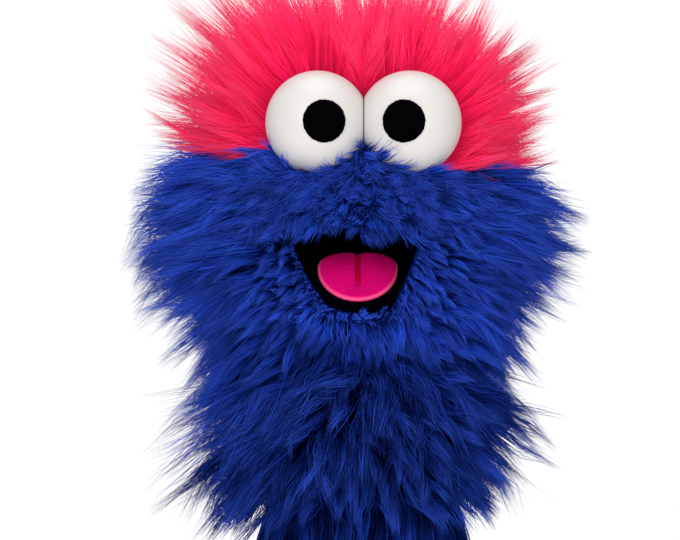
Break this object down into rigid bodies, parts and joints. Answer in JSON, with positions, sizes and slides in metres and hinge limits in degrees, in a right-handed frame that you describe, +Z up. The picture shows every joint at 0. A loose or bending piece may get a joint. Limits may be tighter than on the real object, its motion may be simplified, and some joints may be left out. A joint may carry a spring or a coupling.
{
  "type": "moving mouth puppet",
  "caption": "Long-haired monster hand puppet with a folding mouth, felt tongue, ball eyes, foam head and a furry sleeve for the arm.",
  "frame": {"origin": "on the surface that the sleeve's hem stands on, under the middle of the box round the puppet", "axes": "+Z up along the sleeve, -Y the way the face looks, +X towards the puppet's own left, which is the viewer's right"},
  "size_m": [0.252, 0.199, 0.406],
  "materials": {
    "blue_fur": "long pile faux fur",
    "pink_fur": "long pile faux fur",
    "black_felt": "matt felt",
    "tongue_felt": "matt felt",
    "foam": "open cell foam",
    "lining_cloth": "plain weave",
    "elastic": "woven elastic",
    "board": "matt",
    "eye_plastic": "satin gloss"
  },
  "bodies": {
    "sleeve": {"hem_binding": "lining_cloth", "sleeve_lining": "lining_cloth", "body_foam": "foam", "sleeve_fur_front": "blue_fur", "sleeve_fur_back": "blue_fur"},
    "neck": {"neck_ring": "foam", "neck_fur": "blue_fur"},
    "head": {"skull_foam_left": "foam", "skull_foam_right": "foam", "pink_fur_left": "pink_fur", "pink_fur_right": "pink_fur", "upper_face_fur": "blue_fur", "nape_fur": "blue_fur", "eye_ball_left": "eye_plastic", "eye_ball_right": "eye_plastic", "eye_base_left": "board", "eye_base_right": "board", "pupil_left": "black_felt", "pupil_right": "black_felt", "palate_lining": "black_felt", "upper_mouth_plate": "board", "mouth_fold_tape": "black_felt", "finger_strap": "elastic", "cheek_fur_left": "blue_fur", "cheek_fur_right": "blue_fur", "throat_fur_left": "blue_fur", "throat_fur_right": "blue_fur"},
    "jaw": {"lower_mouth_lining": "black_felt", "lower_mouth_plate": "board", "tongue": "tongue_felt", "thumb_strap": "elastic", "jaw_foam": "foam", "chin_fur": "blue_fur"}
  },
  "joints": [
    {"name": "head_turn", "type": "hinge", "parent": "sleeve", "child": "neck", "pos_m": [0, 0.008, 0.122], "axis": [0, 0, 1], "range_deg": [-35, 35]},
    {"name": "head_nod", "type": "hinge", "parent": "neck", "child": "head", "pos_m": [0, 0.008, 0.19], "axis": [1, 0, 0], "range_deg": [-20, 25], "deforming": ["neck_fur"]},
    {"name": "jaw_open", "type": "hinge", "parent": "head", "child": "jaw", "pos_m": [0, 0, 0.266], "axis": [1, 0, 0], "range_deg": [-36, 20], "deforming": ["cheek_fur_left", "cheek_fur_right", "throat_fur_left", "throat_fur_right"]}
  ]
}
